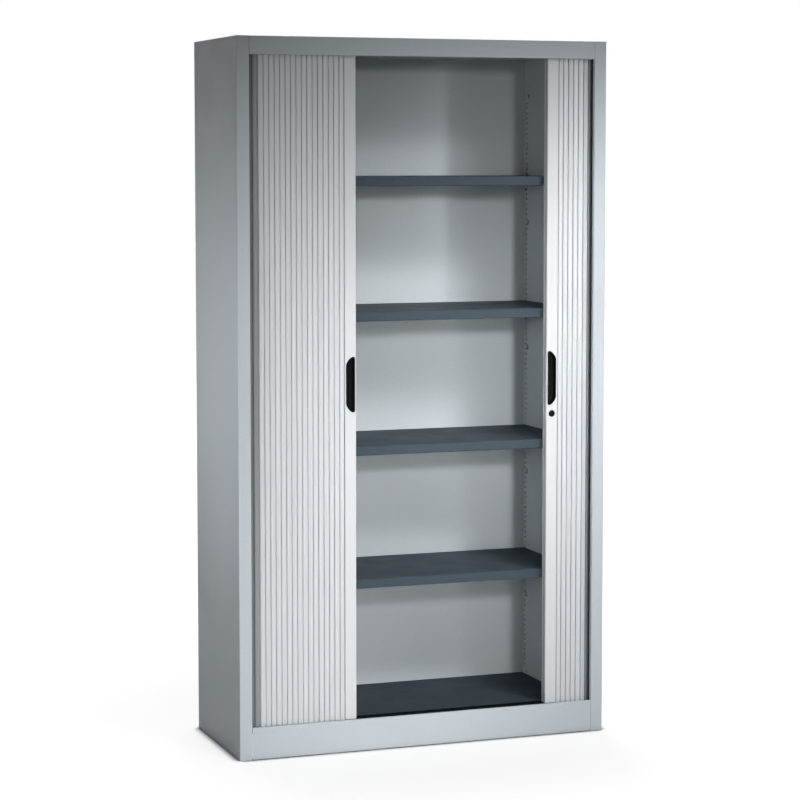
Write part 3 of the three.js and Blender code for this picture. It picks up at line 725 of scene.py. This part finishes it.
class CABINET_OT_lock(bpy.types.Operator):
    """Lock ring turned smooth, and finishes of the cylinder, bolt and keeper"""

    bl_idname = "cabinet.lock"
    bl_label = "Lock"

    def execute(self, context):
        colours = context.scene.cabinet_finish
        ring_finish = moulded_plastic("lock_ring_black", colours.black, 0.28)
        low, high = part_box("lock_housing")
        centre = ((low.x + high.x) / 2, 0.0, (low.z + high.z) / 2)
        outer = (high.x - low.x) / 2
        bore = (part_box("lock_cylinder")[1].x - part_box("lock_cylinder")[0].x) / 4 + SEAT_GAP
        barrel = outer - LOCK_STEP
        rounding = np.linspace(0.0, math.pi / 2, ROUNDING_POINTS)
        crown = [(outer - FLANGE_ROUNDING + FLANGE_ROUNDING * math.sin(a),
                  low.y + FLANGE_ROUNDING * (1 - math.cos(a))) for a in rounding]
        under = DOOR_FACE - SEAT_GAP
        profile = [(bore, high.y), (bore, low.y + BORE_EDGE), (bore + BORE_EDGE, low.y)] + crown
        profile += [(outer, under), (barrel, under), (barrel, high.y)]
        piece = ring_of_revolution("lock_ring", profile, centre, RING_SEGMENTS)
        finished_piece(piece, ring_finish, "black_plastic", "right_door_front", "lock_housing")
        dress(plated("nickel_plate", colours.nickel, 0.18), "lock_cylinder")
        dress(plated("zinc_plate", colours.zinc, 0.3), "lock_bolt", "lock_keeper", *clip_names())
        return {"FINISHED"}


def clip_names():
    """Names of the sixteen shelf clips."""
    return [name for name in frame["nodes"] if "_clip_" in name]


# Finishes of the CAD nodes


class CABINET_OT_casing(bpy.types.Operator):
    """Silver powder coat on the outer sheets"""

    bl_idname = "cabinet.casing"
    bl_label = "Casing"

    def execute(self, context):
        colour = context.scene.cabinet_finish.body_silver
        coat = powder_coat("body_powder_coat", colour, 0.5, specular=0.1)
        dress(coat, "left_side_panel", "right_side_panel", "top_panel", "plinth_front", "rear_base_rail")
        return {"FINISHED"}


class CABINET_OT_interior(bpy.types.Operator):
    """Powder coats on the inner sheets and the shelves"""

    bl_idname = "cabinet.interior"
    bl_label = "Interior"

    def execute(self, context):
        colours = context.scene.cabinet_finish
        inner = powder_coat("inner_powder_coat", colours.inner_silver, 0.55)
        dress(inner, "back_panel", "left_liner", "right_liner", "ceiling_panel")
        shelf = powder_coat("shelf_powder_coat", colours.anthracite, 0.5, flake=0.1, specular=0.05)
        trays = [name for name in frame["nodes"] if name.startswith("shelf_") and "clip" not in name]
        dress(shelf, "floor_panel", *trays)
        return {"FINISHED"}


class CABINET_OT_door_hardware(bpy.types.Operator):
    """Finishes of the lead profiles, end shoes and tracks"""

    bl_idname = "cabinet.door_hardware"
    bl_label = "Door hardware"

    def execute(self, context):
        colours = context.scene.cabinet_finish
        dress(anodised("lead_anodised", colours.lead_silver), "left_lead_profile", "right_lead_profile")
        black = moulded_plastic("track_black", colours.black, 0.45)
        ends = [f"{side}_{end}_{part}"
                for side in SIDES for end in ("top", "bottom") for part in ("shoe", "track")]
        dress(black, *ends)
        return {"FINISHED"}


# Stage


# Each lamp: place, aim, width and height in metres, power in watts, spread in degrees
LAMPS = {
    "key_lamp": ((-0.6, -5.6, 2.2), (0.1, 0.0, 0.95), (0.3, 0.3), 2.1, 26.0),
    "inner_lamp": ((-0.68, -6.0, 1.5), (0.15, 0.2, 1.0), (0.3, 0.3), 0.35, 12.0),
    "high_lamp": ((1.0, -3.0, 3.2), (0.2, 0.0, 0.6), (1.2, 0.8), 5.35, 38.5),
    "right_front_lamp": ((1.4, -4.6, 1.1), (0.4, 0.0, 1.0), (0.6, 0.8), 0.55, 26.0),
    "right_far_lamp": ((6.0, -3.2, 1.4), (0.3, 0.0, 0.95), (1.4, 1.4), 3.3, 28.0),
    "left_far_lamp": ((-4.6, -4.4, 1.5), (-0.2, 0.0, 0.95), (1.2, 1.2), 1.8, 28.0),
    "upper_right_lamp": ((2.0, -4.6, 1.9), (0.5, 0.0, 1.5), (0.4, 0.4), 0.38, 12.0),
    "left_lamp": ((-3.0, -0.8, 0.95), (-0.5, 0.0, 1.06), (0.8, 0.8), 1.45, 33.0),
    "plinth_lamp": ((-0.4, -3.6, 0.35), (-0.3, 0.0, 0.08), (0.8, 0.4), 1.5, 31.0),
    "right_lamp": ((3.0, -0.2, 1.1), (0.5, 0.0, 1.0), (0.8, 0.8), 1.8, 50.0),
    "back_lamp": ((0.9, 3.6, 1.8), (0.0, 0.2, 1.0), (1.6, 1.2), 8.0, 50.0),
    "top_lamp": ((0.0, 0.6, 3.8), (0.0, 0.1, 1.98), (1.6, 0.8), 5.0, 35.0),
}


def aim(thing, target):
    """Turns a lamp so that it points at a place."""
    direction = Vector(target) - thing.location
    thing.rotation_mode = "QUATERNION"
    thing.rotation_quaternion = direction.to_track_quat("-Z", "Y")


def soft_lamp(name, place, target, size, power, spread):
    """Rectangular lamp whose beam is narrowed to a spread in degrees; the camera doesn't see it."""
    lamp = bpy.data.lights.new(name, "AREA")
    lamp.shape = "RECTANGLE"
    lamp.size, lamp.size_y = size
    lamp.energy = power
    lamp.spread = math.radians(spread)
    thing = bpy.data.objects.new(name, lamp)
    thing.location = place
    thing.visible_camera = False
    bpy.context.scene.collection.objects.link(thing)
    aim(thing, target)
    return thing


def seen_directly(tree):
    """1 for camera, glossy and transmission rays, which see the backdrop as white."""
    rays = tree.nodes.new("ShaderNodeLightPath")
    value = rays.outputs["Is Camera Ray"]
    for label in ("Is Glossy Ray", "Is Transmission Ray"):
        larger = node(tree, "ShaderNodeMath")
        larger.operation = "MAXIMUM"
        tree.links.new(value, larger.inputs[0])
        tree.links.new(rays.outputs[label], larger.inputs[1])
        value = larger.outputs["Value"]
    return value


def set_world(level):
    """Even ambient light; camera, glossy and transmission rays see white."""
    world = bpy.data.worlds.new("studio")
    bpy.context.scene.world = world
    world.use_nodes = True
    tree = world.node_tree
    background = tree.nodes["Background"]
    background.inputs["Color"].default_value = (1, 1, 1, 1)
    strength = ranged(tree, seen_directly(tree), level, 1.0)
    tree.links.new(strength, background.inputs["Strength"])


# Studio floor: radius in metres, rings and spokes, its whiteness, the backdrop's strength, the distances
# between which it turns into backdrop, and how far the painted contact shadow reaches where the cabinet meets
# it
STUDIO_RADIUS = 14.0
STUDIO_GRID = (25, 48)
FLOOR_WHITENESS = 0.85
BACKDROP_STRENGTH = 1.15
BACKDROP_DISTANCES = (0.55, 1.6)
CONTACT_SHADOW_REACH = 0.035


def add_floor():
    """Round pale floor on rings of points. Seen directly it turns from floor to white backdrop with the
    distance from the cabinet, so that only the shadow near the cabinet shows. Its colour is darkened by
    ambient occlusion in the corner where the cabinet meets it, a painted contact shadow."""
    rings, spokes = STUDIO_GRID
    radius = np.linspace(0.0, 1.0, rings)[1:] ** 2 * STUDIO_RADIUS
    angle = np.linspace(0.0, 2 * math.pi, spokes, endpoint=False)
    x = np.outer(radius, np.cos(angle)).ravel()
    y = np.outer(radius, np.sin(angle)).ravel()
    index = np.arange(x.size).reshape(len(radius), len(angle))
    after = np.roll(index, -1, axis=1)
    quads = np.stack([index[:-1], index[1:], after[1:], after[:-1]], axis=-1).reshape(-1, 4).tolist()
    floor = new_object("studio_floor", np.column_stack([x, y, 0 * x]), quads + [index[0].tolist()])
    material = bpy.data.materials.new("studio_white")
    material.use_nodes = True
    tree = material.node_tree
    shader = tree.nodes["Principled BSDF"]
    shader.inputs["Roughness"].default_value = 0.9
    # Painted contact shadow: ambient occlusion darkens the floor's colour and holds back the backdrop where
    # the cabinet meets it
    corner = node(tree, "ShaderNodeAmbientOcclusion", Distance=CONTACT_SHADOW_REACH)
    contact_shadow = ranged(tree, corner.outputs["AO"], 0.0, 1.0, (0.5, 0.9))
    whiteness = ranged(tree, contact_shadow, 0.0, FLOOR_WHITENESS)
    tree.links.new(toned(tree, (1.0, 1.0, 1.0), whiteness), shader.inputs["Base Color"])
    place = node(tree, "ShaderNodeTexCoord").outputs["Object"]
    distance = node(tree, "ShaderNodeVectorMath")
    distance.operation = "LENGTH"
    tree.links.new(place, distance.inputs[0])
    backdrop = product(tree, contact_shadow, ranged(tree, distance.outputs["Value"], 0.7, 1.0, BACKDROP_DISTANCES))
    white = node(tree, "ShaderNodeEmission", Strength=BACKDROP_STRENGTH)
    mix = tree.nodes.new("ShaderNodeMixShader")
    tree.links.new(product(tree, seen_directly(tree), backdrop), mix.inputs["Fac"])
    tree.links.new(shader.outputs["BSDF"], mix.inputs[1])
    tree.links.new(white.outputs["Emission"], mix.inputs[2])
    tree.links.new(mix.outputs["Shader"], tree.nodes["Material Output"].inputs["Surface"])
    floor.data.materials.append(material)


def add_camera(settings):
    """Camera at the photograph's angle: turned to the right, tilted down, its lens shifted a little."""
    camera = bpy.data.cameras.new("camera")
    camera.lens = settings.lens
    camera.sensor_width = 36.0
    camera.shift_y = settings.shift
    thing = bpy.data.objects.new("camera", camera)
    thing.location = settings.camera_place
    thing.rotation_euler = (math.pi / 2 - settings.camera_tilt, 0.0, -settings.camera_turn)
    bpy.context.scene.collection.objects.link(thing)
    bpy.context.scene.camera = thing


class CABINET_OT_studio(bpy.types.Operator):
    """Camera, lamps, world and floor"""

    bl_idname = "cabinet.studio"
    bl_label = "Studio"

    def execute(self, context):
        settings = context.scene.cabinet_studio
        add_camera(settings)
        set_world(settings.world_level)
        add_floor()
        for name, (place, target, size, power, spread) in LAMPS.items():
            soft_lamp(name, place, target, size, power * settings.lamp_level, spread)
        context.scene.view_settings.view_transform = "Standard"
        return {"FINISHED"}


class CABINET_PT_panel(bpy.types.Panel):
    """Lists the pieces and the settings"""

    bl_idname = "CABINET_PT_panel"
    bl_label = "Tambour door cabinet"
    bl_space_type = "VIEW_3D"
    bl_region_type = "UI"
    bl_category = "Cabinet"

    def draw(self, context):
        layout = self.layout
        for operator in OPERATORS:
            layout.operator(operator.bl_idname)
        for group in (context.scene.cabinet_doors, context.scene.cabinet_finish, context.scene.cabinet_studio):
            box = layout.box()
            for key in group.__annotations__:
                box.prop(group, key)


OPERATORS = (
    CABINET_OT_studio,
    CABINET_OT_casing,
    CABINET_OT_interior,
    CABINET_OT_door_hardware,
    CABINET_OT_slats,
    CABINET_OT_waiting_slats,
    CABINET_OT_seals,
    CABINET_OT_handles,
    CABINET_OT_lock,
)
SETTINGS = {
    "cabinet_doors": CabinetDoorSettings,
    "cabinet_finish": CabinetFinishSettings,
    "cabinet_studio": CabinetStudioSettings,
}


def register():
    """Registers the settings, the operators and the panel."""
    for group in SETTINGS.values():
        bpy.utils.register_class(group)
    for name, group in SETTINGS.items():
        setattr(bpy.types.Scene, name, bpy.props.PointerProperty(type=group))
    for thing in (*OPERATORS, CABINET_PT_panel):
        bpy.utils.register_class(thing)


def unregister():
    """Takes out what register put in, in reverse order."""
    for thing in (CABINET_PT_panel, *reversed(OPERATORS)):
        bpy.utils.unregister_class(thing)
    for name, group in SETTINGS.items():
        delattr(bpy.types.Scene, name)
        bpy.utils.unregister_class(group)


def main():
    register()
    bpy.ops.cabinet.studio()
    bpy.ops.cabinet.casing()
    bpy.ops.cabinet.interior()
    bpy.ops.cabinet.door_hardware()
    bpy.ops.cabinet.slats()
    bpy.ops.cabinet.waiting_slats()
    bpy.ops.cabinet.seals()
    bpy.ops.cabinet.handles()
    bpy.ops.cabinet.lock()


if __name__ == "__main__":
    main()
